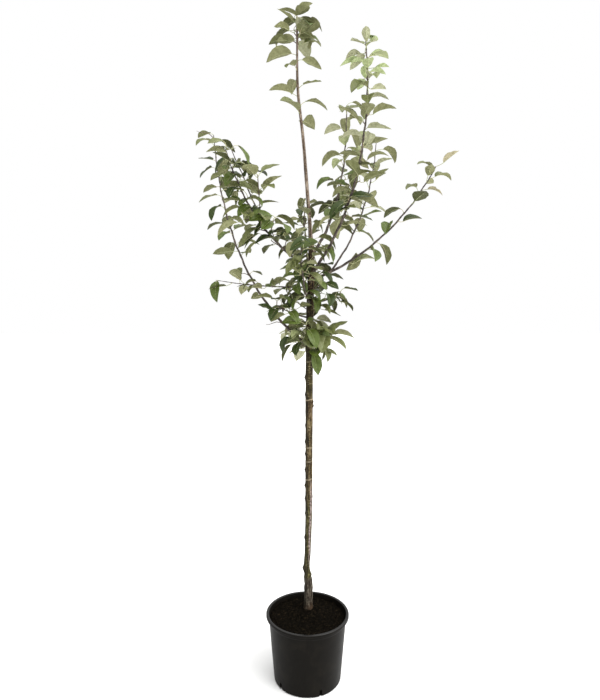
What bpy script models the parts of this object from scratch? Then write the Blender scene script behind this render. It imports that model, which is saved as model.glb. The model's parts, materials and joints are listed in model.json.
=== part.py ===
"""A young apple tree on a clear stem, in a round black nursery pot.

Metres, +Z up. The origin is the centre of the pot's flat underside, +X is to the right
and +Y is away from the side that the tree is seen from. Every limb is a taper along an
arc, and every mass of leaves is an uneven sleeve round a stretch of one limb.
"""

import math
import random
from collections import namedtuple

import bmesh
import bpy
from mathutils import Vector

# Gaps between neighbours
GAP = 0.0003
MASS_GAP = 0.001

# Pot: a blow-moulded container with a turned-over rim and five drainage slots
POT_HEIGHT = 0.225
RIM_RADIUS = 0.140
RIM_DEPTH = 0.009
RIM_ROLL = 0.0025
NECK_RADIUS = 0.1300
NECK_BAND = 0.012
BASE_RADIUS = 0.1135
FOOT_BEVEL = 0.006
FOOT_ROUND = 0.3
WALL = 0.0025
FLOOR = 0.003
POT_SEGMENTS = 40
SLOTS = 5
FIRST_SLOT_BEARING = -68.5
SLOT_WIDTH = 0.008
SLOT_HEIGHT = 0.018
SLOT_DEPTH = 0.016

# Soil: level, this far below the rim
SOIL_RECESS = 0.016
SOIL_TOP = POT_HEIGHT - SOIL_RECESS

# Sides of the limbs' and masses' rings, and the step between a limb's rings
TRUNK_SIDES = 10
LIMB_SIDES = 6
LIMB_RING_STEP = 0.075
PATH_STEPS = 60
LEAST_RINGS = 4
MASS_SIDES = 9
MASS_RING_STEP = 0.042

# Trunk: foot, graft, kink, clear stem, fork and leader, as (x, y, height, radius)
Station = namedtuple("Station", "x y height radius")
TRUNK = (
    Station(0.0035, 0.048, SOIL_TOP + GAP, 0.0165),
    Station(0.0035, 0.047, SOIL_TOP + 0.025, 0.0135),
    Station(0.0037, 0.046, 0.300, 0.0138),
    Station(0.0010, 0.045, 0.335, 0.0115),
    Station(-0.0024, 0.045, 0.362, 0.0098),
    Station(0.0005, 0.044, 0.410, 0.0100),
    Station(0.0045, 0.042, 0.540, 0.0114),
    Station(0.0055, 0.036, 0.860, 0.0118),
    Station(0.0062, 0.027, 1.200, 0.0116),
    Station(0.0118, 0.021, 1.415, 0.0102),
    Station(0.0085, 0.018, 1.498, 0.0064),
    Station(-0.0027, 0.014, 1.642, 0.0054),
    Station(-0.0151, 0.010, 1.796, 0.0048),
    Station(-0.0324, 0.006, 1.951, 0.0040),
    Station(-0.0345, 0.001, 2.100, 0.0030),
    Station(-0.0358, 0.000, 2.170, 0.0020),
)
TRUNK_STEPS_PER_STATION = 3

# Limbs: each starts on its parent's centre line, at a height on the trunk or at a share
# of a parent limb's length. bearing is the way it points in plan, 0 to the right and 90
# away, and swing is how far that turns. rise is its slope, which eases from first to last.
# ends is the share of the length at which the solid ends, inside its last mass.
Limb = namedtuple(
    "Limb",
    "name parent start bearing swing first_rise last_rise ease length thick thin ends",
)
LIMBS = (
    Limb("bough_low_left", "trunk", 1.129, 158, -25, 26, 83, 0.6, 0.882, 0.0048, 0.0018, 0.74),
    Limb("bough_left", "trunk", 1.383, 215, 20, 21, 64, 1.0, 0.476, 0.0045, 0.0017, 0.62),
    Limb("bough_left_fork", "bough_left", 0.48, 180, 0, 69, 66, 1.0, 0.250, 0.0024, 0.0014, 0.26),
    Limb("bough_level_left", "trunk", 1.323, 176, -8, -1, 10, 1.0, 0.326, 0.0024, 0.0010, 0.96),
    Limb("bough_right_inner", "trunk", 1.425, 58, 6, 37, 93, 1.0, 0.648, 0.0055, 0.0016, 0.63),
    Limb("bough_right_tall", "trunk", 1.366, -42, -20, 42, 100, 1.0, 0.728, 0.0050, 0.0016, 0.87),
    Limb("bough_low_right", "trunk", 1.344, -10, -10, 20, 62, 1.0, 0.536, 0.0046, 0.0016, 0.84),
    Limb("bough_right_outer", "bough_low_right", 0.13, 25, 20, 50, 84, 1.0, 0.500, 0.0033, 0.0015, 0.62),
    Limb("bough_back", "trunk", 1.360, 99, -8, 32, 72, 1.0, 0.360, 0.0042, 0.0015, 0.42),
    Limb("bough_front", "trunk", 1.262, -104, 10, 24, 62, 1.0, 0.270, 0.0034, 0.0015, 0.46),
    Limb("bough_short_left", "trunk", 1.222, 196, 0, 8, 32, 1.0, 0.120, 0.0026, 0.0014, 0.50),
    Limb("bough_short_right", "trunk", 1.270, -24, 0, 4, 26, 1.0, 0.110, 0.0026, 0.0014, 0.50),
)
LIMB_NAMED = {limb.name: limb for limb in LIMBS}

# Masses: each follows a limb from one share of its length to another, or the trunk from
# one height to another. Past 1 it runs on beyond the limb's tip. shift moves its middle.
Mass = namedtuple("Mass", "name limb first last radius shift")
MASSES = (
    Mass("leaves_leader_top", "trunk", 2.055, 2.214, 0.094, (0.000, 0.0, 0.0)),
    Mass("leaves_leader_upper", "trunk", 1.800, 2.040, 0.086, (0.004, 0.0, 0.0)),
    Mass("leaves_leader_foot", "trunk", 1.425, 1.600, 0.066, (-0.006, 0.0, 0.0)),
    Mass("leaves_trunk_middle", "trunk", 1.215, 1.418, 0.096, (-0.004, 0.0, 0.0)),
    Mass("leaves_trunk_low", "trunk", 1.045, 1.208, 0.112, (0.014, -0.010, 0.0)),
    Mass("leaves_low_left_inner", "bough_low_left", 0.24, 0.40, 0.036, (0.0, 0.0, 0.0)),
    Mass("leaves_low_left_middle", "bough_low_left", 0.46, 0.69, 0.062, (0.0, 0.0, 0.0)),
    Mass("leaves_low_left_tip", "bough_low_left", 0.71, 1.06, 0.066, (-0.012, 0.0, 0.0)),
    Mass("leaves_left_inner", "bough_left", 0.24, 0.53, 0.056, (0.0, 0.0, -0.008)),
    Mass("leaves_left_tip", "bough_left", 0.58, 1.12, 0.058, (-0.006, -0.012, 0.0)),
    Mass("leaves_left_fork", "bough_left_fork", 0.16, 1.14, 0.058, (0.026, 0.020, 0.0)),
    Mass("leaves_level_left", "bough_level_left", 0.34, 0.90, 0.036, (0.0, 0.0, 0.018)),
    Mass("leaves_level_left_tip", "bough_level_left", 0.91, 1.12, 0.034, (0.008, 0.0, -0.026)),
    Mass("leaves_right_inner_low", "bough_right_inner", 0.22, 0.56, 0.056, (0.0, 0.0, 0.0)),
    Mass("leaves_right_inner_tip", "bough_right_inner", 0.60, 1.08, 0.060, (-0.006, 0.0, 0.0)),
    Mass("leaves_right_tall_low", "bough_right_tall", 0.22, 0.48, 0.052, (0.0, 0.0, 0.0)),
    Mass("leaves_right_tall_middle", "bough_right_tall", 0.51, 0.82, 0.064, (0.0, 0.0, 0.0)),
    Mass("leaves_right_tall_tip", "bough_right_tall", 0.84, 1.07, 0.060, (0.004, 0.0, 0.0)),
    Mass("leaves_right_outer", "bough_right_outer", 0.32, 0.55, 0.048, (0.0, 0.0, 0.0)),
    Mass("leaves_right_outer_tip", "bough_right_outer", 0.58, 1.14, 0.056, (0.0, 0.0, 0.0)),
    Mass("leaves_low_right_inner", "bough_low_right", 0.22, 0.49, 0.052, (0.0, 0.0, -0.014)),
    Mass("leaves_low_right_middle", "bough_low_right", 0.53, 0.78, 0.048, (-0.004, 0.0, 0.0)),
    Mass("leaves_low_right_tip", "bough_low_right", 0.80, 1.10, 0.054, (-0.010, 0.0, 0.0)),
    Mass("leaves_short_left", "bough_short_left", 0.36, 1.24, 0.046, (0.0, 0.0, -0.006)),
    Mass("leaves_short_right", "bough_short_right", 0.36, 1.20, 0.044, (0.0, 0.0, -0.006)),
    Mass("leaves_back", "bough_back", 0.38, 1.16, 0.064, (0.0, 0.0, 0.0)),
    Mass("leaves_front", "bough_front", 0.42, 1.20, 0.062, (0.0, 0.0, -0.006)),
)

# Lumps on a mass: waves round a ring, each with its share of the radius, which also turn
# along the mass, and a scatter of the rings' sizes. SWELL_POWER sets how blunt its ends are.
LUMPS = ((2, 0.10), (3, 0.13), (5, 0.08))
SWELL_POWER = 0.5
LUMP_TURNS = 2.5
RING_SCATTER = (0.88, 1.10)


def make_material(name, rgb, roughness):
    """A plain material; rgb is linear."""
    material = bpy.data.materials.new(name)
    material.use_nodes = True
    shader = material.node_tree.nodes["Principled BSDF"]
    shader.inputs["Base Color"].default_value = (*rgb, 1.0)
    shader.inputs["Roughness"].default_value = roughness
    shader.inputs["Metallic"].default_value = 0.0
    return material


def add_object(name, bm, material, smooth=False):
    """Puts a bmesh in the scene as an object of its own, with its faces turned outwards."""
    bm.normal_update()
    bmesh.ops.recalc_face_normals(bm, faces=bm.faces[:])
    mesh = bpy.data.meshes.new(name)
    bm.to_mesh(mesh)
    bm.free()
    if smooth:
        mesh.shade_smooth()
    obj = bpy.data.objects.new(name, mesh)
    obj.data.materials.append(material)
    bpy.context.scene.collection.objects.link(obj)
    return obj


def make_cutter(obj):
    obj.hide_render = True
    obj.display_type = "WIRE"
    return obj


def cut(target, cutter):
    boolean = target.modifiers.new("Clear " + cutter.name, "BOOLEAN")
    boolean.operation = "DIFFERENCE"
    boolean.object = cutter


def close_rings(bm, rings, first_point, last_point):
    """Skins equal rings of vertices, and closes both ends with a fan to one point.

    The skin is triangles, so that a mass and its cutter fold along the same edges.
    """
    count = len(rings[0])
    for low, high in zip(rings, rings[1:]):
        for i in range(count):
            j = (i + 1) % count
            bm.faces.new((low[i], low[j], high[j]))
            bm.faces.new((low[i], high[j], high[i]))
    for ring, point in ((rings[0], first_point), (rings[-1], last_point)):
        tip = bm.verts.new(point)
        for i in range(count):
            bm.faces.new((ring[i], ring[(i + 1) % count], tip))


def turned(name, profile, material):
    """Turns (radius, height) points about Z; the first and last lie on the axis."""
    bm = bmesh.new()
    rings = []
    for radius, height in profile[1:-1]:
        ring = []
        for i in range(POT_SEGMENTS):
            angle = math.tau * i / POT_SEGMENTS
            ring.append(bm.verts.new((radius * math.cos(angle), radius * math.sin(angle), height)))
        rings.append(ring)
    close_rings(bm, rings, (0, 0, profile[0][1]), (0, 0, profile[-1][1]))
    return add_object(name, bm, material, smooth=True)


def wall_radius(height):
    """Outer radius of the pot's straight, tapering wall."""
    top = POT_HEIGHT - RIM_DEPTH - NECK_BAND
    share = (height - FOOT_BEVEL) / (top - FOOT_BEVEL)
    return BASE_RADIUS + (NECK_RADIUS - BASE_RADIUS) * share


def make_pot(material):
    neck = POT_HEIGHT - RIM_DEPTH - NECK_BAND
    band_radius = NECK_RADIUS + RIM_ROLL / 2
    under_rim = POT_HEIGHT - RIM_DEPTH
    profile = [
        (0, 0),
        (BASE_RADIUS - FOOT_BEVEL, 0),
        (BASE_RADIUS - FOOT_BEVEL * FOOT_ROUND, FOOT_BEVEL * FOOT_ROUND),
        (BASE_RADIUS, FOOT_BEVEL),
        (NECK_RADIUS, neck),
        (band_radius, neck + RIM_ROLL),
        (band_radius + RIM_ROLL / 2, under_rim),
        (RIM_RADIUS - RIM_ROLL / 2, under_rim),
        (RIM_RADIUS, under_rim + RIM_ROLL / 2),
        (RIM_RADIUS, POT_HEIGHT - RIM_ROLL),
        (RIM_RADIUS - RIM_ROLL, POT_HEIGHT),
        (NECK_RADIUS + RIM_ROLL, POT_HEIGHT),
        (NECK_RADIUS, POT_HEIGHT - RIM_ROLL),
        (NECK_RADIUS - WALL, neck),
        (BASE_RADIUS - WALL, FOOT_BEVEL + FLOOR),
        (BASE_RADIUS - FOOT_BEVEL, FLOOR),
        (0, FLOOR),
    ]
    pot = turned("pot", profile, material)
    for i in range(SLOTS):
        cut(pot, make_slot_cutter(i, material))
    return pot


def make_slot_cutter(index, material):
    """A block that opens one drainage slot through the foot of the wall."""
    bearing = math.radians(FIRST_SLOT_BEARING + 360 / SLOTS * index)
    out = Vector((math.cos(bearing), math.sin(bearing), 0))
    side = Vector((-out.y, out.x, 0)) * SLOT_WIDTH / 2
    bm = bmesh.new()
    bmesh.ops.create_cube(bm, size=2)
    for vertex in bm.verts:
        reach = BASE_RADIUS + vertex.co.x * SLOT_DEPTH / 2
        height = SLOT_HEIGHT * vertex.co.z
        vertex.co = out * reach + side * vertex.co.y + Vector((0, 0, height))
    return make_cutter(add_object(f"slot_cutter_{index + 1}", bm, material))


def make_soil(material):
    inner = WALL + GAP
    profile = [
        (0, FLOOR + GAP),
        (BASE_RADIUS - FOOT_BEVEL - GAP, FLOOR + GAP),
        (BASE_RADIUS - inner, FOOT_BEVEL + FLOOR + GAP),
        (wall_radius(SOIL_TOP) - inner, SOIL_TOP),
        (0, SOIL_TOP),
    ]
    return turned("soil", profile, material)


def trunk_line():
    """The trunk's (centre, radius) pairs, on a smooth curve through its stations."""
    points = [Vector((s.x, s.y, s.height, s.radius)) for s in TRUNK]
    line = []
    for i in range(len(points) - 1):
        before = points[max(i - 1, 0)]
        after = points[min(i + 2, len(points) - 1)]
        for step in range(TRUNK_STEPS_PER_STATION):
            t = step / TRUNK_STEPS_PER_STATION
            first_pull = (points[i + 1] - before) / 2 * (t - 2 * t**2 + t**3)
            last_pull = (after - points[i]) / 2 * (t**3 - t**2)
            blend = 3 * t**2 - 2 * t**3
            mixed = points[i] * (1 - blend) + points[i + 1] * blend + first_pull + last_pull
            mixed.z = points[i].z + (points[i + 1].z - points[i].z) * t
            line.append(mixed)
    line.append(points[-1])
    return [(Vector(p[:3]), p[3]) for p in line]


def trunk_point(height):
    line = trunk_line()
    for (low, _), (high, _) in zip(line, line[1:]):
        if height <= high.z:
            return low.lerp(high, (height - low.z) / (high.z - low.z))
    return line[-1][0] + Vector((0, 0, height - line[-1][0].z))


def limb_path(limb):
    """Points at even steps along a limb, from its parent's centre line to its tip."""
    if limb.parent == "trunk":
        start = trunk_point(limb.start)
    else:
        start = point_along(limb_path(LIMB_NAMED[limb.parent]), limb.start)
    points = [start]
    for i in range(PATH_STEPS):
        share = (i + 0.5) / PATH_STEPS
        rise = math.radians(limb.first_rise + (limb.last_rise - limb.first_rise) * share**limb.ease)
        bearing = math.radians(limb.bearing + limb.swing * share)
        level = math.cos(rise)
        way = Vector((level * math.cos(bearing), level * math.sin(bearing), math.sin(rise)))
        points.append(points[-1] + way * limb.length / PATH_STEPS)
    return points


def point_along(points, share):
    """The point at a share of an evenly stepped path, run on straight beyond its end."""
    place = share * (len(points) - 1)
    index = min(int(place), len(points) - 2)
    return points[index].lerp(points[index + 1], place - index)


def frames_along(centres):
    """Two directions across the path at each centre, which turn as little as they can."""
    across = Vector((0, 1, 0))
    frames = []
    for i in range(len(centres)):
        ahead = (centres[min(i + 1, len(centres) - 1)] - centres[max(i - 1, 0)]).normalized()
        across = (across - ahead * across.dot(ahead)).normalized()
        frames.append((across, ahead.cross(across)))
    return frames


def make_trunk(name, growth, material):
    """The trunk, or with growth its cutter. Its rings lie level, so its foot is flat."""
    bm = bmesh.new()
    line = trunk_line()
    spread = growth / math.cos(math.pi / TRUNK_SIDES)
    rings = []
    for index, (centre, radius) in enumerate(line):
        lift = growth * ((index == len(line) - 1) - (index == 0))
        ring = []
        for i in range(TRUNK_SIDES):
            angle = math.tau * i / TRUNK_SIDES
            out = Vector((math.cos(angle), math.sin(angle), 0)) * (radius + spread)
            ring.append(bm.verts.new(centre + out + Vector((0, 0, lift))))
        rings.append(ring)
    ends = (rings[0], rings[-1])
    middles = [sum((v.co for v in ring), Vector()) / TRUNK_SIDES for ring in ends]
    close_rings(bm, rings, *middles)
    return add_object(name, bm, material, smooth=True)


def pushed_ends(points, growth):
    """The two end points of a path, each pushed out along it."""
    first = points[0] + (points[0] - points[1]).normalized() * growth
    last = points[-1] + (points[-1] - points[-2]).normalized() * growth
    return first, last


def make_limb(name, limb, path, growth, material):
    """One tapering limb, or with growth its cutter, ended inside its last mass."""
    reach = limb.length * limb.ends
    count = max(LEAST_RINGS, round(reach / LIMB_RING_STEP) + 1)
    shares = [limb.ends * i / (count - 1) for i in range(count)]
    centres = [point_along(path, share) for share in shares]
    centres[0], centres[-1] = pushed_ends(centres, growth)
    spread = growth / math.cos(math.pi / LIMB_SIDES)
    bm = bmesh.new()
    rings = []
    for share, centre, (across, up) in zip(shares, centres, frames_along(centres)):
        radius = limb.thick + (limb.thin - limb.thick) * share + spread
        ring = []
        for i in range(LIMB_SIDES):
            angle = math.tau * i / LIMB_SIDES
            out = across * math.cos(angle) + up * math.sin(angle)
            ring.append(bm.verts.new(centre + out * radius))
        rings.append(ring)
    close_rings(bm, rings, centres[0], centres[-1])
    return add_object(name, bm, material, smooth=True)


def mass_centres(mass, paths):
    """Centres down the middle of a mass, with its shift eased in towards the middle."""
    if mass.limb == "trunk":
        length = mass.last - mass.first
    else:
        length = LIMB_NAMED[mass.limb].length * (mass.last - mass.first)
    count = max(LEAST_RINGS, round(length / MASS_RING_STEP)) + 1
    centres = []
    for i in range(count):
        t = i / (count - 1)
        along = mass.first + (mass.last - mass.first) * t
        if mass.limb == "trunk":
            centre = trunk_point(along)
        else:
            centre = point_along(paths[mass.limb], along)
        centres.append(centre + Vector(mass.shift) * math.sin(math.pi * t))
    return centres


def make_mass(name, index, mass, paths, growth, material):
    """One uneven closed sleeve of foliage, or with growth its cutter."""
    chance = random.Random(index)
    phases = [(chance.uniform(0, math.tau), chance.uniform(-LUMP_TURNS, LUMP_TURNS)) for _ in LUMPS]
    centres = mass_centres(mass, paths)
    frames = frames_along(centres)
    bm = bmesh.new()
    rings = []
    for i in range(1, len(centres) - 1):
        t = i / (len(centres) - 1)
        swell = math.sin(math.pi * t) ** SWELL_POWER * chance.uniform(*RING_SCATTER)
        across, up = frames[i]
        ring = []
        for side in range(MASS_SIDES):
            angle = math.tau * side / MASS_SIDES
            lump = sum(
                share * math.sin(waves * angle + phase + turns * t)
                for (waves, share), (phase, turns) in zip(LUMPS, phases)
            )
            radius = mass.radius * swell * (1 + lump) + growth
            out = across * math.cos(angle) + up * math.sin(angle)
            ring.append(bm.verts.new(centres[i] + out * radius))
        rings.append(ring)
    close_rings(bm, rings, *pushed_ends(centres, growth))
    return add_object(name, bm, material)


def near(first, second):
    """Whether two objects' boxes meet; neither object is turned or scaled."""
    for axis in range(3):
        a = [corner[axis] for corner in first.bound_box]
        b = [corner[axis] for corner in second.bound_box]
        if min(a) > max(b) or min(b) > max(a):
            return False
    return True


def clear_scene():
    for obj in list(bpy.data.objects):
        bpy.data.objects.remove(obj, do_unlink=True)


def make_limbs(paths, bark, trunk_cutter):
    """Every limb, cut clear of its parent, and the cutters that the masses need."""
    cutters = {"trunk": trunk_cutter}
    for limb in LIMBS:
        obj = make_limb(limb.name, limb, paths[limb.name], 0.0, bark)
        cut(obj, cutters[limb.parent])
        grown = make_limb(limb.name + "_cutter", limb, paths[limb.name], GAP, bark)
        cutters[limb.name] = make_cutter(grown)
    return cutters


def make_masses(paths, limb_cutters, leaf_materials):
    """Every mass, cut clear of the limbs it holds and of the masses made before it."""
    earlier = []
    for index, mass in enumerate(MASSES):
        material = leaf_materials[index % len(leaf_materials)]
        obj = make_mass(mass.name, index, mass, paths, 0.0, material)
        for cutter in (*limb_cutters.values(), *earlier):
            if near(obj, cutter):
                cut(obj, cutter)
        grown = make_mass(mass.name + "_cutter", index, mass, paths, MASS_GAP, material)
        earlier.append(make_cutter(grown))


def main():
    clear_scene()
    black_plastic = make_material("Black polypropylene", (0.020, 0.019, 0.018), 0.5)
    compost = make_material("Peat compost", (0.011, 0.008, 0.006), 0.95)
    bark = make_material("Apple bark", (0.105, 0.082, 0.056), 0.8)
    greens = [
        make_material("Leaf green, mid", (0.115, 0.190, 0.050), 0.6),
        make_material("Leaf green, deep", (0.055, 0.110, 0.030), 0.6),
        make_material("Leaf green, grey", (0.240, 0.300, 0.140), 0.65),
    ]
    make_pot(black_plastic)
    make_soil(compost)
    make_trunk("trunk", 0.0, bark)
    trunk_cutter = make_cutter(make_trunk("trunk_cutter", GAP, bark))
    paths = {limb.name: limb_path(limb) for limb in LIMBS}
    limb_cutters = make_limbs(paths, bark, trunk_cutter)
    make_masses(paths, limb_cutters, greens)


main()
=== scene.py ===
"""Looks of a young apple tree on a clear stem, in a round black nursery pot.

Metres, +Z up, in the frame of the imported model. Every limb follows the same arc as its
solid. Along it a seeded rule sets out shoots, spurs and leaves, each on its own stalk.
"""

import json
import math
import random
from collections import namedtuple

import bmesh
import bpy
import numpy as np
from mathutils import Matrix, Vector

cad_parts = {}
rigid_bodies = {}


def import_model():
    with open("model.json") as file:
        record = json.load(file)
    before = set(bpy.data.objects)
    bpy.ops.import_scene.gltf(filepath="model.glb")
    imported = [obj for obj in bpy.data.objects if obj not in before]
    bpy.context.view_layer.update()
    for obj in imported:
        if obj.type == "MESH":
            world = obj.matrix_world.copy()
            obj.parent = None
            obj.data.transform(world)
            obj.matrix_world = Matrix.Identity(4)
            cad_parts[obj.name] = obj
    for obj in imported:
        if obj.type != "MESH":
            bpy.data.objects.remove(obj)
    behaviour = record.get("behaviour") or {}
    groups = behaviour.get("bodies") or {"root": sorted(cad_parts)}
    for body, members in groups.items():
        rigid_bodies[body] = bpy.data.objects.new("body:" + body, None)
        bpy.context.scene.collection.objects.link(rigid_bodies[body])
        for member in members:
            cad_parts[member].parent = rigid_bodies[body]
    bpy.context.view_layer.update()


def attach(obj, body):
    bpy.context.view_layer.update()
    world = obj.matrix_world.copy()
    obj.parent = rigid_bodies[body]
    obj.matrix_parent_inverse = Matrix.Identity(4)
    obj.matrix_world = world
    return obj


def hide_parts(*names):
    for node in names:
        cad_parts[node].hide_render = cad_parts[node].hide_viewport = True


bl_info = {
    "name": "Young apple tree in a pot",
    "version": (1, 0, 0),
    "blender": (4, 5, 0),
    "location": "3D View > Sidebar > Tree",
    "description": "Grows a young apple tree and its pot round the packed frame",
    "category": "Add Mesh",
}

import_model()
BODY = "root"
UP = Vector((0, 0, 1))


def linear(code):
    """Linear red, green and blue of an sRGB hex colour."""
    parts = [int(code[i : i + 2], 16) / 255 for i in (1, 3, 5)]
    return tuple(part / 12.92 if part <= 0.04045 else ((part + 0.055) / 1.055) ** 2.4 for part in parts)


# Sizes

# Pot, as in the solid
FLOOR = 0.003
HOLLOW = 0.0025
FOOT_BEVEL = 0.006
RIM_DEPTH = 0.009
RIM_ROLL = 0.0025
NECK_RADIUS = 0.1300
NECK_BAND = 0.012
BASE_RADIUS = 0.1135
WALL = 0.0025
SLOTS = 5
FIRST_SLOT_BEARING = -68.5
SLOT_SIZE = (0.009, 0.024, 0.016)
CORNER_ANGLE = 38

# Heights between which the rim turns from dull to polished
RIM_POLISH = (0.2236, 0.2247)

# Compost, in rings of points, with its gap to the pot, and the crumbs and fibres on it
SOIL_GAP = 0.0003
SOIL_SIDES = 96
SOIL_RINGS = 51
MOUND_RADIUS = 0.055
LOOSE_DEPTH = 0.004
FIBRES = 90
FIBRE_STEP = (0.0016, 0.0046)
FIBRE_GIRTH = (0.0003, 0.0007)

# Trunk: foot, graft, kink, clear stem, fork and leader, as (x, y, height, radius)
TRUNK = (
    (0.0035, 0.048, 0.2093, 0.0165),
    (0.0035, 0.047, 0.234, 0.0135),
    (0.0037, 0.046, 0.300, 0.0138),
    (0.0010, 0.045, 0.335, 0.0115),
    (-0.0024, 0.045, 0.362, 0.0098),
    (0.0005, 0.044, 0.410, 0.0100),
    (0.0045, 0.042, 0.540, 0.0114),
    (0.0055, 0.036, 0.860, 0.0118),
    (0.0062, 0.027, 1.200, 0.0116),
    (0.0118, 0.021, 1.415, 0.0102),
    (0.0085, 0.018, 1.498, 0.0064),
    (-0.0027, 0.014, 1.642, 0.0054),
    (-0.0151, 0.010, 1.796, 0.0048),
    (-0.0324, 0.006, 1.951, 0.0040),
    (-0.0345, 0.001, 2.100, 0.0030),
    (-0.0358, 0.000, 2.170, 0.0020),
)

# Marks on the trunk's bark: (height, bearing, size, how far it stands out). 180 is left.
Knob = namedtuple("Knob", "height bearing size stands")
KNOBS = (
    Knob(1.022, 188, 0.0075, 0.0042),
    Knob(0.964, 180, 0.0070, 0.0029),
    Knob(0.940, -30, 0.0060, 0.0039),
    Knob(0.926, -18, 0.0050, 0.0044),
    Knob(0.858, 184, 0.0060, 0.0021),
    Knob(0.802, 176, 0.0060, 0.0031),
    Knob(0.761, 188, 0.0065, 0.0034),
    Knob(0.705, 180, 0.0065, 0.0031),
    Knob(0.650, 186, 0.0065, 0.0036),
    Knob(0.604, 178, 0.0060, 0.0026),
    Knob(0.552, 184, 0.0060, 0.0023),
    Knob(0.467, 180, 0.0070, 0.0029),
    Knob(0.357, 178, 0.0090, 0.0044),
    Knob(0.720, 60, 0.0065, 0.0034),
    Knob(0.880, 100, 0.0070, 0.0036),
    Knob(0.610, 30, 0.0060, 0.0029),
    Knob(1.120, 20, 0.0065, 0.0031),
    Knob(1.160, 150, 0.0060, 0.0034),
    Knob(1.300, -60, 0.0060, 0.0029),
    Knob(1.380, 190, 0.0070, 0.0034),
    Knob(1.448, 10, 0.0070, 0.0047),
)

# Pale rings round the trunk: their heights, how far they stand out and their width
RINGS = (0.782, 0.733, 0.671, 0.945, 1.075, 1.455)
RING_HEIGHT = 0.0007
RING_WIDTH = 0.0022

# Bark's thickness over the solid
SKIN = 0.0007

# Graft: its height, how soon the old bark sets in below it, and its relief
GRAFT = 0.330
GRAFT_FADE = 0.012
GRAFT_LIP = 0.0016
GRAFT_CREASE = 0.0014
FURROW_DEPTH = 0.0011

# Bark's unevenness: most waves round the trunk, how fast they turn with height, and share
BARK_WAVES = ((1, 9, 1.0), (2, 22, 0.8), (3, 55, 0.5), (5, 120, 0.35), (7, 260, 0.25))

# Painted highlight, a pale lilac strip on the key light's side: from and to a height, with
# its bearing and its reach to each side in radians; and painted shade on the side away from
# the key light, up to a height
PAINTED_HIGHLIGHT_HEIGHTS = (0.37, 0.68)
PAINTED_HIGHLIGHT_BEARING = -58
PAINTED_HIGHLIGHT_REACH = 0.28
PAINTED_SHADE_BEARING = 188
PAINTED_SHADE_TOP = 1.62

# Trunk's skins, each from dark to light, and those laid over the olive one: where each sets
# in, where it is full, and how far it covers
SKIN_STOPS = (0.1, 0.4, 0.65, 0.95)
OLIVE_SKIN = ("#1d180e", "#342a19", "#493d25", "#736547")
GREEN_SKIN = ("#16140a", "#2a2613", "#3c371b", "#5d5736")
BROWN_SKIN = ("#181009", "#2f2416", "#453723", "#6b5a42")
LEADER_SKIN = ("#382d24", "#594b40", "#76675a", "#9c8e80")
# Colours of the painted highlight, a pale lilac strip on the lit side, and of the old bark below the graft
PAINTED_HIGHLIGHT_STOPS = ((0.34, "#3d2e25"), (0.5, "#857674"), (0.7, "#a89994"))
OLD_BARK_STOPS = ((0.1, "#1d170f"), (0.4, "#38312a"), (0.7, "#544d42"), (0.95, "#787165"))
SKINS_OVER = (
    (GREEN_SKIN, 0.80, 0.70, 1.0),
    (BROWN_SKIN, 0.96, 1.00, 1.0),
    (GREEN_SKIN, 1.06, 1.12, 0.8),
    (BROWN_SKIN, 1.26, 1.40, 1.0),
    (LEADER_SKIN, 1.54, 1.64, 1.0),
)

# Limbs: bearing and swing in plan, rise from first to last, in degrees, as in the solids
Limb = namedtuple("Limb", "name parent start bearing swing first_rise last_rise ease length thick thin")
LIMBS = (
    Limb("bough_low_left", "trunk", 1.129, 158, -25, 26, 83, 0.6, 0.882, 0.0048, 0.0014),
    Limb("bough_left", "trunk", 1.383, 215, 20, 21, 64, 1.0, 0.476, 0.0045, 0.0013),
    Limb("bough_left_fork", "bough_left", 0.48, 180, 0, 69, 66, 1.0, 0.250, 0.0024, 0.0012),
    Limb("bough_level_left", "trunk", 1.323, 176, -8, -1, 10, 1.0, 0.326, 0.0024, 0.0008),
    Limb("bough_right_inner", "trunk", 1.425, 58, 6, 37, 93, 1.0, 0.648, 0.0055, 0.0013),
    Limb("bough_right_tall", "trunk", 1.366, -42, -20, 42, 100, 1.0, 0.728, 0.0050, 0.0013),
    Limb("bough_low_right", "trunk", 1.344, -10, -10, 20, 62, 1.0, 0.536, 0.0046, 0.0013),
    Limb("bough_right_outer", "bough_low_right", 0.13, 25, 20, 50, 84, 1.0, 0.500, 0.0033, 0.0013),
    Limb("bough_back", "trunk", 1.360, 99, -8, 32, 72, 1.0, 0.360, 0.0042, 0.0012),
    Limb("bough_front", "trunk", 1.262, -104, 10, 24, 62, 1.0, 0.270, 0.0034, 0.0012),
    Limb("bough_short_left", "trunk", 1.222, 196, 0, 8, 32, 1.0, 0.120, 0.0026, 0.0012),
    Limb("bough_short_right", "trunk", 1.270, -24, 0, 4, 26, 1.0, 0.110, 0.0026, 0.0012),
)
LIMB_NAMED = {limb.name: limb for limb in LIMBS}
PATH_STEPS = 60

# Swellings of the boughs at their buds and at their feet
BUD_SPACING = 0.032
BUD_LENGTH = 0.0042
BUD_SWELL = 0.0005
COLLAR_LENGTH = 0.016

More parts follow.
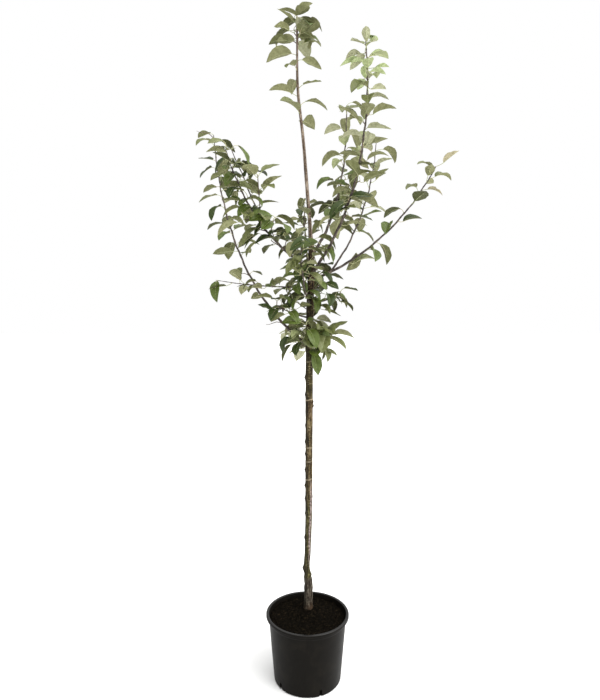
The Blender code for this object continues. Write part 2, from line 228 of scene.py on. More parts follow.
# Leaf runs: along a limb from first to last (a height on the trunk), so many sprays of so
# many leaves, on side shoots of the given length (none: straight off the limb). spread is
# the angle between stalk and limb, rise the slope of the blades, and turn the side that the
# spiral starts on. tones names the sprays' colours by their letters, and the first of them
# the piece that takes the mass's place. A run without a mass adds leaves among those of the
# masses near it. A run's seed follows from its place in the table.
Run = namedtuple("Run", "mass limb first last sprays leaves shoot leaf spread rise tones turn")
RUNS = (
    Run("leaves_leader_top", "trunk", 2.080, 2.158, 12, 2, 0.012, 0.066, 64, 12, "oopog", 20),
    Run("leaves_leader_upper", "trunk", 1.830, 2.070, 9, 1, 0.0, 0.086, 58, 26, "oopo", 90),
    Run("leaves_leader_foot", "trunk", 1.430, 1.560, 4, 1, 0.020, 0.074, 62, 8, "god", 200),
    Run("leaves_trunk_middle", "trunk", 1.225, 1.425, 18, 3, 0.060, 0.060, 66, -2, "dgdgo", 40),
    Run("leaves_trunk_low", "trunk", 1.085, 1.190, 9, 4, 0.046, 0.066, 70, 0, "gogpo", 0),
    Run("", "trunk", 1.118, 1.160, 3, 6, 0.058, 0.078, 70, -4, "gpo", -48),
    Run("leaves_front", "bough_front", 0.44, 1.00, 7, 2, 0.012, 0.064, 60, 0, "gdo", 30),
    Run("leaves_low_left_inner", "bough_low_left", 0.25, 0.40, 3, 1, 0.0, 0.056, 60, 0, "gd", 90),
    Run("leaves_low_left_middle", "bough_low_left", 0.46, 0.69, 10, 1, 0.0, 0.076, 58, 2, "dgd", 30),
    Run("leaves_low_left_tip", "bough_low_left", 0.71, 1.00, 14, 1, 0.0, 0.074, 52, 8, "odgd", 80),
    Run("leaves_left_inner", "bough_left", 0.24, 0.55, 10, 2, 0.036, 0.070, 60, 0, "dgo", 10),
    Run("leaves_left_tip", "bough_left", 0.58, 1.00, 10, 2, 0.010, 0.062, 56, 6, "ogdg", 60),
    Run("leaves_left_fork", "bough_left_fork", 0.20, 1.00, 10, 1, 0.0, 0.076, 56, 6, "ggd", 120),
    Run("leaves_level_left", "bough_level_left", 0.14, 0.84, 10, 1, 0.0, 0.070, 62, 18, "dgo", 0),
    Run("", "trunk", 1.122, 1.122, 1, 3, 0.050, 0.064, 80, -34, "dg", 204),
    Run("leaves_right_inner_low", "bough_right_inner", 0.24, 0.56, 11, 2, 0.018, 0.074, 60, 2, "dgo", 0),
    Run("leaves_right_inner_tip", "bough_right_inner", 0.60, 1.00, 13, 1, 0.0, 0.081, 53, 8, "ooop", 100),
    Run("leaves_right_tall_low", "bough_right_tall", 0.24, 0.48, 9, 2, 0.018, 0.076, 60, 6, "godo", 50),
    Run("leaves_right_tall_middle", "bough_right_tall", 0.51, 0.83, 9, 2, 0.010, 0.071, 58, 18, "opop", 10),
    Run("leaves_right_tall_tip", "bough_right_tall", 0.84, 1.00, 8, 2, 0.006, 0.056, 44, 26, "yyp", 140),
    Run("leaves_right_outer", "bough_right_outer", 0.33, 0.56, 7, 1, 0.0, 0.080, 60, 4, "ogp", 30),
    Run("leaves_right_outer_tip", "bough_right_outer", 0.60, 1.00, 9, 1, 0.0, 0.072, 54, 12, "ogp", 90),
    Run("leaves_low_right_inner", "bough_low_right", 0.24, 0.49, 4, 1, 0.0, 0.080, 64, -4, "go", -20),
    Run("leaves_low_right_middle", "bough_low_right", 0.55, 0.78, 4, 1, 0.0, 0.070, 60, 18, "gd", 200),
    Run("leaves_low_right_tip", "bough_low_right", 0.80, 1.00, 7, 1, 0.0, 0.060, 46, 28, "obpo", 175),
    Run("leaves_short_left", "bough_short_left", 0.40, 1.00, 6, 2, 0.014, 0.060, 60, -4, "dg", 20),
    Run("leaves_short_right", "bough_short_right", 0.40, 1.00, 4, 2, 0.014, 0.060, 60, -4, "gdo", 80),
    Run("leaves_back", "bough_back", 0.40, 1.00, 9, 2, 0.014, 0.062, 58, 4, "dgo", 0),
    Run("", "trunk", 1.112, 1.112, 1, 1, 0.0, 0.084, 78, -58, "g", -52),
    Run("", "bough_left", 0.50, 0.50, 1, 7, 0.150, 0.070, 36, 14, "ogo", 0),
    Run("", "bough_left", 0.46, 0.46, 1, 4, 0.080, 0.078, 78, -4, "go", -15),
    Run("leaves_level_left_tip", "bough_level_left", 0.95, 0.97, 1, 1, 0.0, 0.088, 78, -56, "g", -84),
)

# Bare twigs: (limb, share or height, bearing, rise, length)
BARE_TWIGS = (
    ("bough_low_left", 0.985, 172, 30, 0.075),
    ("bough_low_left", 0.375, 176, 18, 0.055),
    ("bough_low_left", 0.135, 184, 4, 0.060),
    ("trunk", 1.452, 10, 62, 0.018),
)

# How leaves stand. Angles are in degrees, stalks and girths in metres, the rest are shares.
FIRST_SEED = 1000
SPIRAL = 144
SPIRAL_SCATTER = 22
STALK = (0.015, 0.025)
LEAF_SCATTER = (0.86, 1.10)
LEAF_WIDTH = (0.72, 0.98)
RISE_SCATTER = 15
ROLL_SCATTER = 19
SPREAD_SCATTER = 10
LEAF_TURN_SCATTER = 20
PLACE_SCATTER = 0.25
STALK_OPENS = (32, 74)
LOWEST_LEAF = 0.45
UPPER_LEAN = 0.35
SHOOT_SCATTER = (0.5, 1.4)
SHOOT_LIFT = 0.08
STALK_GIRTHS = (0.0012, 0.0009)
SHOOT_GIRTHS = (0.0017, 0.0016, 0.0015, 0.0015, 0.0013)

# Leaf shapes, for a leaf a metre long: bends along the blade and folds along its midrib, in
# degrees, and half widths at shares of its length
LEAF_BENDS = (12, 34, 56, 82)
LEAF_FOLDS = (24, 44)
LEAF_STATIONS = ((0.0, 0.0), (0.06, 0.125), (0.17, 0.235), (0.31, 0.305), (0.47, 0.318))
LEAF_STATIONS += ((0.63, 0.282), (0.78, 0.200), (0.91, 0.090), (1.0, 0.0))
LEAF_THICKNESS = 0.005
RIB_GIRTH = 0.0009
RIB_TAPER = 0.11

# Light: the way to the key light, its width in degrees, and how fast the rest falls off
KEY_WAY = Vector((2.2, -1.4, 2.6))
SOFTBOX_ANGLE = 40
LIGHT_FALL = 2.0

# Floor and camera: its lens in millimetres, and how far it looks down, in radians
FLOOR_CODE = "#f6f6f5"
FLOOR_REACH = 30
CAMERA_LENS = 28
CAMERA_PLACE = (-0.0254, -1.7847, 1.2365)
CAMERA_DIP = 0.0673

# Leaf tones: letter, name, upper side and underside
TONES = (
    ("d", "deep_green", "#2d3c0b", "#464a27"),
    ("g", "mid_green", "#4c5b1f", "#656840"),
    ("o", "olive_green", "#5f6537", "#80815a"),
    ("p", "pale_olive", "#80875b", "#a5a685"),
    ("y", "young_green", "#8fa25f", "#aeba88"),
    ("b", "bronze", "#7f7653", "#a39b7c"),
)


# Nodes and materials


def node(tree, kind, inputs=(), output=0, stops=(), **settings):
    """Adds a node with its settings and a ramp's stops, and gives back one of its outputs. Its
    inputs come in order or by key, as values, as hex colours or as outputs to link."""
    made = tree.nodes.new(kind)
    for name, value in settings.items():
        setattr(made, name, value)
    for key, value in inputs.items() if isinstance(inputs, dict) else enumerate(inputs):
        if isinstance(value, bpy.types.NodeSocket):
            tree.links.new(value, made.inputs[key])
        else:
            is_colour = str(value).startswith("#")
            made.inputs[key].default_value = (*linear(value), 1) if is_colour else value
    while stops and len(made.color_ramp.elements) < len(stops):
        made.color_ramp.elements.new(0.5)
    for index, (position, code) in enumerate(stops):
        made.color_ramp.elements[index].position = position
        made.color_ramp.elements[index].color = (*linear(code), 1)
    return made.outputs[output]


def new_material(name, code, roughness, specular=0.5):
    """A material with one Principled shader, and its tree, the shader's inputs and the Object
    coordinates."""
    material = bpy.data.materials.new(name)
    material.use_nodes = True
    material.diffuse_color = (*linear(code), 1)
    tree = material.node_tree
    shader = tree.nodes["Principled BSDF"].inputs
    shader["Base Color"].default_value = (*linear(code), 1)
    shader["Roughness"].default_value = roughness
    shader["Specular IOR Level"].default_value = specular
    return material, tree, shader, node(tree, "ShaderNodeTexCoord", output="Object")


def pot_material():
    """Black recycled polypropylene, blow moulded: satin, with faint flow marks and dust, and
    a rim that handling has polished."""
    material, tree, shader, place = new_material("black_polypropylene", "#0d0b08", 0.44)
    flow = node(tree, "ShaderNodeTexNoise", {"Vector": place, "Scale": 22.0, "Detail": 5.0})
    dust = node(tree, "ShaderNodeMapRange", (flow, 0.52, 0.78, 0.0, 0.35))
    tint = node(tree, "ShaderNodeMix", {0: dust, 6: "#0d0b08", 7: "#211d17"}, 2, data_type="RGBA")
    tree.links.new(tint, shader["Base Color"])
    height = node(tree, "ShaderNodeSeparateXYZ", (place,), "Z")
    for name, dull, polished in (("Specular IOR Level", 0.06, 0.42), ("Roughness", 0.44, 0.24)):
        sheen = node(tree, "ShaderNodeMapRange", (height, *RIM_POLISH, dull, polished))
        tree.links.new(sheen, shader[name])
    grain = node(tree, "ShaderNodeTexNoise", {"Vector": place, "Scale": 900.0, "Detail": 2.0})
    relief = node(tree, "ShaderNodeBump", {"Height": grain, "Distance": 0.0002, "Strength": 0.5})
    tree.links.new(relief, shader["Normal"])
    return material


def soil_material(name, codes, grit):
    """Peat compost: very dark brown and matt, with crumbs a few millimetres across."""
    material, tree, shader, place = new_material(name, codes[0], 0.95, 0.02)
    crumbs = node(tree, "ShaderNodeTexNoise", {"Vector": place, "Scale": grit, "Detail": 6.0})
    stops = list(zip((0.35, 0.55, 0.75), codes))
    tree.links.new(node(tree, "ShaderNodeValToRGB", (crumbs,), stops=stops), shader["Base Color"])
    relief = node(tree, "ShaderNodeBump", {"Height": crumbs, "Distance": 0.0015, "Strength": 1.0})
    tree.links.new(relief, shader["Normal"])
    return material


def trunk_material():
    """Young apple bark: smooth skin, olive green to brown by height, with mottling about
    5 mm across and streaks 40 mm long, pale lenticels across it, darker scars where shoots
    were cut, a painted highlight as a pale lilac strip on the key light's side, painted shade
    on the side away from it, and grey streaked bark below the graft."""
    material, tree, shader, place = new_material("apple_trunk_bark", "#5f553f", 0.7, 0.14)
    height = node(tree, "ShaderNodeSeparateXYZ", (place,), "Z")
    long_place = node(tree, "ShaderNodeMapping", {"Vector": place, "Scale": (190, 190, 24)})
    wide_place = node(tree, "ShaderNodeMapping", {"Vector": place, "Scale": (70, 70, 330)})
    fields = []
    for where, scale, detail in (
        (long_place, 1.0, 4.0),
        (place, 170.0, 3.0),
        (place, 14.0, 2.0),
        (wide_place, 1.0, 2.0),
    ):
        inputs = {"Vector": where, "Scale": scale, "Detail": detail}
        fields.append(node(tree, "ShaderNodeTexNoise", inputs))
    streaks, mottle, broad, bands = fields
    marks = node(tree, "ShaderNodeMath", (mottle, 0.45, streaks), operation="MULTIPLY_ADD")
    marks = node(tree, "ShaderNodeMapRange", (marks, 0.53, 0.92, 0.0, 1.0))
    uneven = node(tree, "ShaderNodeMath", (broad, 0.24, height), operation="MULTIPLY_ADD")
    layers = []
    for codes, start, full, cover in SKINS_OVER:
        share = node(tree, "ShaderNodeMapRange", (uneven, start, full, 0.0, cover))
        stops = list(zip(SKIN_STOPS, codes))
        layers.append((share, node(tree, "ShaderNodeValToRGB", (marks,), stops=stops)))
    layers.append((node(tree, "ShaderNodeMapRange", (bands, 0.62, 0.70, 0.0, 0.6)), "#a39478"))
    # The first of these is the painted highlight, a pale lilac strip on the key light's side; the second is
    # the old bark below the graft.
    barks = (("flush", mottle, PAINTED_HIGHLIGHT_STOPS), ("stock", marks, OLD_BARK_STOPS))
    for name, field, stops in barks:
        share = node(tree, "ShaderNodeAttribute", output="Fac", attribute_name=name)
        layers.append((share, node(tree, "ShaderNodeValToRGB", (field,), stops=stops)))
    layers.append((node(tree, "ShaderNodeMapRange", (height, 0.245, 0.215, 0.0, 0.75)), "#3a2a1b"))
    # The first of these is painted shade on the side away from the key light; scars and rings are the
    # bark's own marks.
    for name, code in (("weather", "#1c1911"), ("scar", "#211a12"), ("ring", "#b5a78e")):
        layers.append((node(tree, "ShaderNodeAttribute", output="Fac", attribute_name=name), code))
    stops = list(zip(SKIN_STOPS, OLIVE_SKIN))
    tint = node(tree, "ShaderNodeValToRGB", (marks,), stops=stops)
    for share, over in layers:
        tint = node(tree, "ShaderNodeMix", {0: share, 6: tint, 7: over}, 2, data_type="RGBA")
    tree.links.new(tint, shader["Base Color"])
    relief = node(tree, "ShaderNodeBump", {"Height": marks, "Distance": 0.0012, "Strength": 0.6})
    tree.links.new(relief, shader["Normal"])
    return material


def bough_material(name, codes):
    """One to three year old apple wood: thin purple-brown skin with a grey bloom, and pale
    lenticels about a millimetre long, drawn twice their size so that they show."""
    material, tree, shader, place = new_material(name, codes[1], 0.55, 0.4)
    bloom = node(tree, "ShaderNodeTexNoise", {"Vector": place, "Scale": 60.0, "Detail": 4.0})
    pores = node(tree, "ShaderNodeTexNoise", {"Vector": place, "Scale": 420.0, "Detail": 1.0})
    spots = node(tree, "ShaderNodeMapRange", (pores, 0.66, 0.72, 0.0, 0.7))
    stops = list(zip((0.35, 0.5, 0.68), codes))
    tint = node(tree, "ShaderNodeValToRGB", (bloom,), stops=stops)
    tint = node(tree, "ShaderNodeMix", {0: spots, 6: tint, 7: "#a79a84"}, 2, data_type="RGBA")
    tree.links.new(tint, shader["Base Color"])
    relief = node(tree, "ShaderNodeBump", {"Height": bloom, "Distance": 0.0006, "Strength": 0.5})
    tree.links.new(relief, shader["Normal"])
    return material


def leaf_material(name, code, roughness):
    """One side of a leaf. Its colour is its spray's, a little uneven over each centimetre,
    and a fine pucker between veins a few millimetres apart breaks up the gloss."""
    material, tree, shader, place = new_material(name, code, roughness, 0.34)
    shades = []
    for value, saturation in ((0.82, 1.04), (1.17, 0.93)):
        inputs = {"Value": value, "Saturation": saturation, "Color": code}
        shades.append(node(tree, "ShaderNodeHueSaturation", inputs))
    uneven = node(tree, "ShaderNodeTexNoise", {"Vector": place, "Scale": 110.0, "Detail": 3.0})
    share = node(tree, "ShaderNodeMapRange", (uneven, 0.36, 0.64, 0.0, 1.0))
    inputs = {0: share, 6: shades[0], 7: shades[1]}
    tree.links.new(node(tree, "ShaderNodeMix", inputs, 2, data_type="RGBA"), shader["Base Color"])
    pucker = node(tree, "ShaderNodeTexNoise", {"Vector": place, "Scale": 130.0, "Detail": 1.0})
    inputs = (pucker, 0.3, 0.7, roughness - 0.07, roughness + 0.07)
    tree.links.new(node(tree, "ShaderNodeMapRange", inputs), shader["Roughness"])
    relief = node(tree, "ShaderNodeBump", {"Height": pucker, "Distance": 0.0006, "Strength": 0.4})
    tree.links.new(relief, shader["Normal"])
    return material


def stalk_material():
    """Leaf stalks and midribs: downy pale green."""
    material, tree, shader, place = new_material("leaf_stalk", "#a3a877", 0.6)
    flush = node(tree, "ShaderNodeTexNoise", {"Vector": place, "Scale": 35.0, "Detail": 1.0})
    stops = ((0.4, "#9aa372"), (0.62, "#b0ab84"), (0.8, "#a98f76"))
    tree.links.new(node(tree, "ShaderNodeValToRGB", (flush,), stops=stops), shader["Base Color"])
    return material


# Meshes


def new_mesh(name, points, edges=(), faces=()):
    """A mesh from points, and edges or faces between them."""
    mesh = bpy.data.meshes.new(name)
    mesh.from_pydata([tuple(point) for point in points], edges, faces)
    return mesh


def store(mesh, name, kind, values, domain="POINT"):
    """Stores a value on each of a mesh's points, edges or faces."""
    field = "vector" if kind == "FLOAT_VECTOR" else "value"
    mesh.attributes.new(name, kind, domain).data.foreach_set(field, values)


def linked(name, data):
    """A new object in the scene."""
    made = bpy.data.objects.new(name, data)
    bpy.context.scene.collection.objects.link(made)
    return made


def new_piece(name, points, faces, material):
    """A piece of the scene from points and faces, in one material."""
    mesh = new_mesh(name, points, faces=faces)
    mesh.materials.append(material)
    return linked(name, mesh)


def applied(piece):
    """The piece with its modifiers applied, as a plain mesh."""
    graph = bpy.context.evaluated_depsgraph_get()
    mesh = bpy.data.meshes.new_from_object(piece.evaluated_get(graph))
    piece.modifiers.clear()
    old = piece.data
    piece.data = mesh
    mesh.name = piece.name
    bpy.data.meshes.remove(old)
    return piece


def reworked(mesh, change):
    """Runs a change on the mesh in its editable form."""
    work = bmesh.new()
    work.from_mesh(mesh)
    change(work)
    work.to_mesh(mesh)
    work.free()
    return mesh


def register_piece(piece, slot, *nodes):
    """Hands a finished piece to the frame."""
    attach(piece, BODY)
    if nodes:
        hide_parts(*nodes)


def circle(radius, sides):
    """Points of a circle in plan."""
    angles = [math.tau * i / sides for i in range(sides)]
    return [(radius * math.cos(angle), radius * math.sin(angle)) for angle in angles]


def skinned(name, points, rings, sides, material):
    """A smooth closed skin over rings of points, whose first and last points are its poles."""
    pairs = [(side, (side + 1) % sides) for side in range(sides)]
    top = 1 + (rings - 1) * sides
    faces = [(0, 1 + after, 1 + side) for side, after in pairs]
    for low in range(1, top, sides):
        high = low + sides
        faces += [(low + side, low + after, high + after, high + side) for side, after in pairs]
    faces += [(top + side, top + after, top + sides) for side, after in pairs]
    piece = new_piece(name, points, faces, material)
    piece.data.shade_smooth()
    reworked(piece.data, lambda work: bmesh.ops.recalc_face_normals(work, faces=work.faces))
    return piece


# Limbs


def trunk_line(steps=10):
    """The trunk as rows of x, y, height and radius, on a smooth curve through its stations."""
    points = np.array(TRUNK)
    wide = np.pad(points, ((1, 1), (0, 0)), mode="edge")
    slopes = (wide[2:] - wide[:-2]) / 2
    rows = []
    for low, high, leaving, arriving in zip(points, points[1:], slopes, slopes[1:]):
        for share in [step / steps for step in range(steps)]:
            square, cube = share**2, share**3
            row = low * (1 - 3 * square + 2 * cube) + high * (3 * square - 2 * cube)
            row += leaving * (share - 2 * square + cube)
            row += arriving * (cube - square)
            row[2] = low[2] + (high[2] - low[2]) * share
            rows.append(row)
    return np.array([*rows, points[-1]])


TRUNK_LINE = trunk_line()


def trunk_at(height):
    """Centre and radius of the trunk at a height."""
    x, y, radius = (float(np.interp(height, TRUNK_LINE[:, 2], TRUNK_LINE[:, i])) for i in (0, 1, 3))
    return Vector((x, y, height)), radius


def heading(bearing, rise):
    """A unit direction, from its bearing in plan and its slope, in degrees."""
    bearing, rise = math.radians(bearing), math.radians(rise)
    level = math.cos(rise)
    return Vector((level * math.cos(bearing), level * math.sin(bearing), math.sin(rise)))


def limb_path(limb):
    """Points at even steps along a limb, from its parent's centre line to its tip."""
    if limb.parent == "trunk":
        start = trunk_at(limb.start)[0]
    else:
        start = along(limb_path(LIMB_NAMED[limb.parent]), limb.start)
    points = [start]
    for i in range(PATH_STEPS):
        share = (i + 0.5) / PATH_STEPS
        rise = limb.first_rise + (limb.last_rise - limb.first_rise) * share**limb.ease
        way = heading(limb.bearing + limb.swing * share, rise)
        points.append(points[-1] + way * limb.length / PATH_STEPS)
    return points


def along(points, share):
    """The place at a share of the way along evenly spaced points."""
    place = share * (len(points) - 1)
    index = min(int(place), len(points) - 2)
    return points[index].lerp(points[index + 1], place - index)


PATHS = {limb.name: limb_path(limb) for limb in LIMBS}


def girth_at(limb, share):
    """A limb's radius at a share of its length."""
    return limb.thick + (limb.thin - limb.thick) * share


def limb_spot(name, share):
    """Point, direction and radius at a share of a limb's length, or at a height of the trunk."""
    if name == "trunk":
        point, radius = trunk_at(share)
        return point, (trunk_at(share + 0.01)[0] - point).normalized(), radius
    limb = LIMB_NAMED[name]
    path = PATHS[name]
    low = along(path, max(share - 0.02, 0))
    way = (along(path, min(share + 0.02, 1)) - low).normalized()
    return along(path, share), way, girth_at(limb, share)


# Leaves


# A leaf's points and faces, how many faces its upper side has, the line of its midrib, and
# the edges along it, where the two halves meet at a crease
Shape = namedtuple("Shape", "points faces upper_count rib creases")


def leaf_shape(index):
    """One leaf shape, a metre long."""
    chance = random.Random(index)
    bend = math.radians(LEAF_BENDS[index // 4])
    fold = math.radians(LEAF_FOLDS[index // 2 % 2] + chance.uniform(-4, 4))
    twist = math.radians(chance.uniform(-16, 16))
    points, top, bottom, rib = [], [], [], []
    y = z = last = 0.0
    for share, width in LEAF_STATIONS:
        slope = -bend * ((share + last) / 2) ** 0.85
        y += math.cos(slope) * (share - last)
        z += math.sin(slope) * (share - last)
        last = share
        centre = Vector((0, y, z))
        ahead = Vector((0, math.cos(slope), math.sin(slope)))
        side = Matrix.Rotation(twist * share, 3, ahead) @ Vector((1, 0, 0))
        normal = side.cross(ahead)
        rib.append(centre - normal * LEAF_THICKNESS / 2)
        first = len(points)
        if width == 0:
            points.append(centre)
            top.append([first])
            bottom.append([first])
            continue
        row = []
        for way in (-1, 1):
            lift = fold * (1.15 - 0.5 * share)
            half = width * (1 + chance.uniform(-0.04, 0.04))
            middle = centre + (side * way * math.cos(lift) + normal * math.sin(lift)) * half * 0.55
            lift = lift * 0.35 + chance.uniform(-0.22, 0.16)
            edge = middle + (side * way * math.cos(lift) + normal * math.sin(lift)) * half * 0.5
            row += [edge, middle]
        row = [row[0], row[1], centre, row[3], row[2]]
        points += row
        points += [point - normal * LEAF_THICKNESS for point in row[1:4]]
        top.append([first + i for i in range(5)])
        bottom.append([first + i for i in (0, 5, 6, 7, 4)])
    faces = leaf_side(top, False) + leaf_side(bottom, True)
    creases = set()
    for rows in (top, bottom):
        middles = [row[len(row) // 2] for row in rows]
        creases.update(tuple(sorted(pair)) for pair in zip(middles, middles[1:]))
    return Shape(points, faces, len(faces) // 2, rib, creases)


def leaf_side(rows, under):
    """One layer of a leaf, from its base over its rows to its tip."""
    faces = []
    for low, high in zip(rows, rows[1:]):
        if len(low) == 1:
            faces += [(low[0], high[i + 1], high[i]) for i in range(4)]
        elif len(high) == 1:
            faces += [(low[i], low[i + 1], high[0]) for i in range(4)]
        else:
            faces += [(low[i], low[i + 1], high[i + 1], high[i]) for i in range(4)]
    return [(face[0], *face[:0:-1]) for face in faces] if under else faces


SHAPES = [leaf_shape(i) for i in range(4 * len(LEAF_BENDS))]

Leaf = namedtuple("Leaf", "base ahead upper length width shape tone")


class Growth:
    """What the rule has grown: leaves, shoots and stalks as (points, radii), and the places
    along each limb that carry buds."""

    def __init__(self):
        self.leaves = []
        self.shoots = []
        self.stalks = []
        self.buds = {}

    def add_leaf(self, start, ahead, upper, run, tone, chance):
        """One leaf on a curved stalk. ahead is the way that the stalk leaves, and the blade
        lies more level than that."""
        stalk = chance.uniform(*STALK)
        length = run.leaf * chance.uniform(*LEAF_SCATTER)
        bearing = math.degrees(math.atan2(ahead.y, ahead.x))
        blade = heading(bearing, run.rise + chance.gauss(0, RISE_SCATTER))
        middle = start + ahead * stalk * 0.5
        base = middle + (ahead + blade).normalized() * stalk * 0.5
        upper = (upper - blade * upper.dot(blade)).normalized()
        upper = Matrix.Rotation(math.radians(chance.gauss(0, ROLL_SCATTER)), 3, blade) @ upper
        shape = chance.randrange(len(SHAPES))
        self.leaves.append(Leaf(base, blade, upper, length, chance.uniform(*LEAF_WIDTH), shape, tone))
        turn = leaf_turn(blade, upper)
        rib = [base + turn @ (point * length) for point in SHAPES[shape].rib]
        line = [start, middle, *rib[:-2]]
        girths = [*STALK_GIRTHS] + [RIB_GIRTH * (1 - RIB_TAPER * i) for i in range(len(rib) - 2)]
        self.stalks.append((line, girths))

    def grow_spray(self, start, way, radius, run, angle, tone, chance):
        """A shoot or spur with its leaves round it, or one leaf straight off the limb."""
        out = outward(way, angle)
        lean = math.radians(run.spread + chance.uniform(-SPREAD_SCATTER, SPREAD_SCATTER))
        ahead = way * math.cos(lean) + out * math.sin(lean)
        if run.leaves == 1:
            foot = start + out * radius * 0.8
            self.add_leaf(foot, ahead, leaf_upper(way), run, tone, chance)
            return
        length = run.shoot * chance.uniform(*SHOOT_SCATTER)
        steps = len(SHOOT_GIRTHS) - 1
        line = [start]
        for _ in range(steps):
            ahead = (ahead + UP * SHOOT_LIFT).normalized()
            line.append(line[-1] + ahead * length / steps)
        self.shoots.append((line, [*SHOOT_GIRTHS]))
        for i in range(run.leaves):
            share = 1 if i == 0 else chance.uniform(LOWEST_LEAF, 1)
            foot = line[0].lerp(line[-1], share)
            turned_on = SPIRAL * i + chance.uniform(-LEAF_TURN_SCATTER, LEAF_TURN_SCATTER)
            around = outward(ahead, angle + 180 + turned_on)
            open_by = math.radians(chance.uniform(*STALK_OPENS))
            leaf_way = ahead * math.cos(open_by) + around * math.sin(open_by)
            self.add_leaf(foot, leaf_way, leaf_upper(ahead), run, tone, chance)

    def grow_run(self, index, run):
        """The sprays of one run, spaced unevenly and turned on in a spiral."""
        chance = random.Random(FIRST_SEED + index)
        for i in range(run.sprays):
            place = (i + 0.5 + chance.uniform(-PLACE_SCATTER, PLACE_SCATTER)) / run.sprays
            share = run.first + (run.last - run.first) * place
            if i == run.sprays - 1 and run.last == 1:
                share = 1
            point, way, radius = limb_spot(run.limb, share)
            angle = run.turn + SPIRAL * i + chance.uniform(-SPIRAL_SCATTER, SPIRAL_SCATTER)
            self.buds.setdefault(run.limb, []).append(share)
            self.grow_spray(point, way, radius, run, angle, chance.choice(run.tones), chance)


def outward(way, angle):
    """A direction square to way, turned round it from the right of the view by an angle."""
    level = Vector((1, 0, 0)) if abs(way.x) < 0.9 else Vector((0, 0, 1))
    first = (level - way * level.dot(way)).normalized()
    second = way.cross(first)
    angle = math.radians(angle)
    return first * math.cos(angle) + second * math.sin(angle)


def leaf_upper(way):
    """Leaves turn their upper sides to the sky, and a little towards the tip of their shoot."""
    return (UP + way * UPPER_LEAN).normalized()


def leaf_turn(ahead, upper):
    """The rotation that takes a leaf's own axes to its place."""
    side = ahead.cross(upper)
    return Matrix((side, ahead, upper)).transposed()


def grow_crown():
    """All that grows on the limbs, by the table of runs, and the bare twigs."""
    growth = Growth()
    for index, run in enumerate(RUNS):
        growth.grow_run(index, run)
    for limb, share, bearing, rise, length in BARE_TWIGS:
        start = limb_spot(limb, share)[0]
        way = heading(bearing, rise)
        line = [start + way * length * i / 5 + UP * length * 0.1 * math.sin(i) for i in range(6)]
        growth.shoots.append((line, [0.0016 - 0.0002 * i for i in range(6)]))
    return growth


# Node groups


def new_group(name, inputs):
    """A Geometry Nodes tree with named inputs, the sockets that give them, and its output."""
    tree = bpy.data.node_groups.new(name, "GeometryNodeTree")
    for way in ("INPUT", "OUTPUT"):
        tree.interface.new_socket("Geometry", in_out=way, socket_type="NodeSocketGeometry")
    for label, kind, default in inputs:
        socket = tree.interface.new_socket(label, in_out="INPUT", socket_type="NodeSocket" + kind)
        if default is not None:
            socket.default_value = default
    given = tree.nodes.new("NodeGroupInput").outputs
    return tree, given, tree.nodes.new("NodeGroupOutput").inputs[0]


def grown(piece, tree, values):
    """Runs a node tree on the piece, with its inputs set by identifier, and applies it."""
    modifier = piece.modifiers.new(tree.name, "NODES")
    modifier.node_group = tree
    for item in tree.interface.items_tree:
        if item.in_out == "INPUT" and item.name in values:
            modifier[item.identifier] = values[item.name]
    return applied(piece)


def leaf_tree():
    """Sets the leaf shapes on points, by the turn, size and shape stored on each point."""
    inputs = (
        ("Leaf shapes", "Collection", None),
        ("Leaf scale", "Float", 1.0),
        ("Upper side", "Material", None),
        ("Underside", "Material", None),
    )
    tree, given, end = new_group("Leaves on their stalks", inputs)
    stored = {"shape": "INT", "turn": "FLOAT_VECTOR", "size": "FLOAT_VECTOR", "underside": "BOOLEAN"}
    for name, kind in stored.items():
        stored[name] = node(tree, "GeometryNodeInputNamedAttribute", {"Name": name}, data_type=kind)
    inputs = {"Collection": given["Leaf shapes"], "Separate Children": True, "Reset Children": True}
    shapes = node(tree, "GeometryNodeCollectionInfo", inputs)
    inputs = {"Vector": stored["size"], "Scale": given["Leaf scale"]}
    size = node(tree, "ShaderNodeVectorMath", inputs, operation="SCALE")
    inputs = {
        "Points": given["Geometry"],
        "Instance": shapes,
        "Pick Instance": True,
        "Instance Index": stored["shape"],
        "Rotation": node(tree, "FunctionNodeEulerToRotation", (stored["turn"],)),
        "Scale": size,
    }
    leaves = node(tree, "GeometryNodeInstanceOnPoints", inputs)
    leaves = node(tree, "GeometryNodeRealizeInstances", {"Geometry": leaves})
    inputs = {"Geometry": leaves, "Material": given["Upper side"]}
    leaves = node(tree, "GeometryNodeSetMaterial", inputs)
    inputs = {"Geometry": leaves, "Selection": stored["underside"], "Material": given["Underside"]}
    tree.links.new(node(tree, "GeometryNodeSetMaterial", inputs), end)
    return tree


